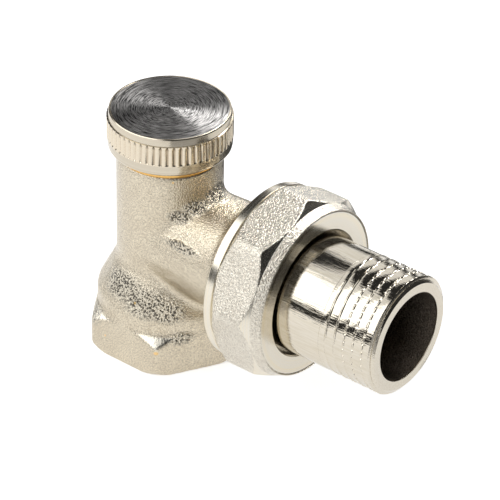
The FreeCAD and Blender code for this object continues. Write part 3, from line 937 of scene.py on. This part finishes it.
# %% Turn the nut
def is_turned(x, y, z):
    """True where the nut was cut on the lathe, and False on its eight flats."""
    radius = from_branch(y, z)
    flats = octagon_radius(math.atan2(z - BRANCH_HEIGHT / MM, y))
    cone = 14.2 < radius < flats - 0.12 and NUT_BAND_END < x < NUT_COLLAR_FROM
    inside = radius < 13.9 and x < 31.1
    front = radius < 14.4 and x > 31.05
    return cone or inside or front or x < NUT_BAND_END + 0.05


bm = turn(nut_outline, 420, 0.16, lambda along, radius: 13 < radius and 20.5 < along < 29.7)
reshape(bm, nut_rule)
nut = finish_piece(
    "union_nut_forged", bm, ON_BRANCH, nickel_nut, "union_nut", "union_nut"
)
other_finish(nut, nickel_turned_branch, is_turned)

# %% [markdown]
# ## The cap
# The cap is turned: a rounded lip, a straight knurl of 58 teeth, a plain band and a flat top
# with a thin bright rim. The teeth could be one tooth repeated round the cap, but the rule
# also lets the gaps between them run out in points at the top, as the knurling wheel
# leaves them.

# %% Cap outline and knurl rule
TEETH = 58
TOOTH_STEPS = 10
KNURL_DEPTH = 0.2
KNURL_FROM = 40.65
KNURL_TO = 44.36
KNURL_RUN_IN = 0.3
CAP_RADIUS = 10.65
GAP_HALF_WIDTH = 0.42
GAP_RUN_OUT = 0.5
CAP_PITCH = 1.0
CAP_THREAD_DEPTH = 0.5
CAP_THREAD_REACH = (39.0, 39.6, 43.0, 43.6)

cap_outline = [
    (38.5, 8.45), (38.5, 10.45, 0.75), (40.62, 10.62), (40.7, CAP_RADIUS),
    (40.95, CAP_RADIUS), (43.84, CAP_RADIUS), (KNURL_TO, CAP_RADIUS), (44.4, 10.42),
    (45.58, 10.29, 0.06), (45.73, 10.16, 0.05), (45.75, 10.06), (45.69, 10.0),
    (45.71, 9.93), (45.72, 9.6), (45.72, 0.0), (44.2, 0.0), (44.2, 8.06), (38.85, 8.06),
]


def cap_rule(along, radius, angle):
    """Radius of the cap at a place, with the gaps of its knurl and its thread."""
    if radius < 8.2:
        return radius - thread_cut(along, angle, CAP_PITCH, CAP_THREAD_DEPTH, CAP_THREAD_REACH)
    if radius < 10.3 or not KNURL_FROM - 0.02 < along < KNURL_TO + 0.01:
        return radius
    from_gap = abs((TEETH * angle / math.tau) % 1.0 - 0.5)
    half_width = GAP_HALF_WIDTH * min(1.0, 0.2 + (KNURL_TO - along) / GAP_RUN_OUT)
    into_gap = ramp(half_width - from_gap, 0.0, half_width)
    depth = KNURL_DEPTH * ramp(along, KNURL_FROM, KNURL_FROM + KNURL_RUN_IN)
    return radius - depth * (0.5 - 0.5 * math.cos(math.pi * into_gap))


print("a tooth and its gap are", round(math.tau * CAP_RADIUS / TEETH, 2), "mm wide")

# %% Turn the cap
def cap_is_divided(along, radius):
    """True in the cap's thread and at both ends of its knurl."""
    return 7.9 < radius < 8.2 or (radius > 10.5 and not 41.0 <= along <= 43.6)


bm = turn(cap_outline, TEETH * TOOTH_STEPS, 0.12, cap_is_divided)
reshape(bm, cap_rule)
cap = finish_piece("cap_knurled", bm, UPRIGHT, nickel_turned, "cap", "cap")
other_finish(cap, turned_top, lambda x, y, z: z > 45.7 and math.hypot(x, y) < 9.96)
other_finish(
    cap, nickel_knurl, lambda x, y, z: KNURL_FROM < z < KNURL_TO and math.hypot(x, y) > 10.2
)

# %% [markdown]
# ## The bonnet
# The bonnet is bare brass. Only its flange shows, as the amber ring under the cap, but when
# the cap is unscrewed its thread, its two wrench flats and the spindle come into view. It is
# turned like the cap, and its flats are one more limit on the radius.

# %% Bonnet outline and rule
BONNET_HALF_FLATS = 7.0
FLATS_FROM = 39.6
BONNET_THREAD_REACH = (38.6, 39.0, 42.6, 43.0)

bonnet_outline = [
    (29.0, 5.6), (29.0, 7.44, 0.2), (36.34, 7.44), (36.34, 6.44), (37.4, 6.44), (37.4, 7.44),
    (37.5, 7.44), (37.5, 9.05, 0.1), (38.35, 9.05, 0.12), (38.35, 7.98), (42.8, 7.98),
    (43.2, 7.58), (43.2, 5.05), (36.0, 5.05), (36.0, 5.6),
]


def bonnet_rule(along, radius, angle):
    """Radius of the bonnet at a place, with its thread and its two flats."""
    if along < 38.4 or radius < 7.0:
        return radius
    threaded = radius - thread_cut(
        along, angle, CAP_PITCH, CAP_THREAD_DEPTH, BONNET_THREAD_REACH
    )
    if along <= FLATS_FROM:
        return threaded
    return min(threaded, BONNET_HALF_FLATS / max(0.01, abs(math.sin(angle))))


bm = turn(bonnet_outline, 240, 0.1, lambda along, radius: radius > 7.9 and along > 38.4)
reshape(bm, bonnet_rule)
finish_piece("bonnet_turned", bm, UPRIGHT, bare_brass, "bonnet", "body")

# %% [markdown]
# ## The forged body
# The body is one hot forging, and a forging has no sharp edges: everything flows. The packed
# solid has the right form with crisp edges. A bevel on each edge would leave seams where
# several meet, so a copy of the solid is remeshed into small even cells and smoothed a few
# times, which rounds each edge by a cell or two. The two threads are cut on machined
# places, so they are turned pieces of their own.

# %% Copy the solid and close it behind the branch thread
CELL = 0.29 * MM
SLEEVE_FROM = 18.4 * MM

bm = bmesh.new()
bm.from_mesh(nodes["valve_body"].data)
bmesh.ops.remove_doubles(bm, verts=bm.verts, dist=SAME_POINT)
bmesh.ops.bisect_plane(
    bm, geom=bm.verts[:] + bm.edges[:] + bm.faces[:], plane_co=(SLEEVE_FROM, 0, 0),
    plane_no=(1, 0, 0), clear_outer=True,
)
bmesh.ops.bridge_loops(bm, edges=[edge for edge in bm.edges if edge.is_boundary])
bmesh.ops.recalc_face_normals(bm, faces=bm.faces)
print("open edges left:", sum(edge.is_boundary for edge in bm.edges))
draft = mesh_object("forging_draft", bm)
remesh = draft.modifiers.new("cells", "REMESH")
remesh.mode = "VOXEL"
remesh.voxel_size = CELL
depsgraph = bpy.context.evaluated_depsgraph_get()
forging_mesh = bpy.data.meshes.new_from_object(draft.evaluated_get(depsgraph))
bpy.data.objects.remove(draft)
print("cells:", len(forging_mesh.polygons))

# %% Smooth the forging and open the inlet for its thread
INLET_WALL = 10.6 * MM
INLET_DEEP = 10.95 * MM
TIMES_SMOOTHED = 5

bm = bmesh.new()
bm.from_mesh(forging_mesh)
for _ in range(TIMES_SMOOTHED):
    bmesh.ops.smooth_vert(
        bm, verts=bm.verts, factor=0.5, use_axis_x=True, use_axis_y=True, use_axis_z=True,
    )
for vert in bm.verts:
    x, y, z = vert.co
    radius = math.hypot(x, y)
    if z < INLET_DEEP and 0 < radius < INLET_WALL:
        set_radius(vert, radius, INLET_WALL)
finish_piece(
    "body_forging", bm, UPRIGHT, nickel_blasted, "valve_body", "body", 60
)

# %% [markdown]
# ## The body's own threads
# The branch thread shows when the nut is drawn off, and the inlet thread is seen from below.
# Both are turned, each as a closed ring that reaches a little into the forging, so that no
# gap opens between them.

# %% Branch thread
BRANCH_THREAD_DEPTH = 1.05
# The last two lie past the branch's end, where its thread is still whole
BRANCH_THREAD_REACH = (19.0, 20.4, 26.0, 27.0)
BRANCH_RELIEF = 12.04

sleeve_outline = [
    (18.0, 7.2), (18.0, BRANCH_RELIEF), (19.14, BRANCH_RELIEF), (20.3, 13.2), (24.7, 13.2),
    (25.5, 12.4), (25.5, 11.0), (18.92, 7.2),
]


def sleeve_rule(along, radius, angle):
    """Radius of the branch at a place, with its thread."""
    if radius < 12.0 or along < 19.0:
        return radius
    cut = thread_cut(along, angle, PIPE_PITCH, BRANCH_THREAD_DEPTH, BRANCH_THREAD_REACH)
    return max(BRANCH_RELIEF, radius - cut)


bm = turn(sleeve_outline, 300, 0.12, lambda along, radius: radius > 12.0 and along > 19.0)
reshape(bm, sleeve_rule)
finish_piece(
    "branch_thread", bm, ON_BRANCH, nickel_turned_branch, "valve_body", "body"
)

# %% Inlet thread
INLET_THREAD_DEPTH = 1.0
INLET_THREAD_REACH = (0.7, 1.4, 9.6, 10.6)

inlet_outline = [(0.0, 10.52), (0.0, 10.62), (11.0, 10.62), (11.0, 9.34), (0.68, 9.34)]


def inlet_rule(along, radius, angle):
    """Radius of the inlet's wall at a place, with the thread cut into it."""
    if radius > 9.6:
        return radius
    return radius + thread_cut(
        along, angle, PIPE_PITCH, INLET_THREAD_DEPTH, INLET_THREAD_REACH
    )


bm = turn(inlet_outline, 240, 0.14, lambda along, radius: radius < 9.5)
reshape(bm, inlet_rule)
finish_piece("inlet_thread", bm, UPRIGHT, nickel_turned, "valve_body", "body")

# %% [markdown]
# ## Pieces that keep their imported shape
# The spindle, the plug with its gasket and nut, and the seals are hidden in the rest pose.
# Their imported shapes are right, so they only get their finishes.

# %% Finishes of the hidden pieces
finishes = {
    bare_brass: ("spindle", "plug", "gasket_nut"),
    seal_rubber: (
        "plug_gasket", "bonnet_oring", "spindle_oring_lower", "spindle_oring_upper",
        "cap_gasket", "tail_oring",
    ),
}
for finish, names in finishes.items():
    for name in names:
        nodes[name].data.materials.clear()
        nodes[name].data.materials.append(finish)
        print(name, "in", finish.name)
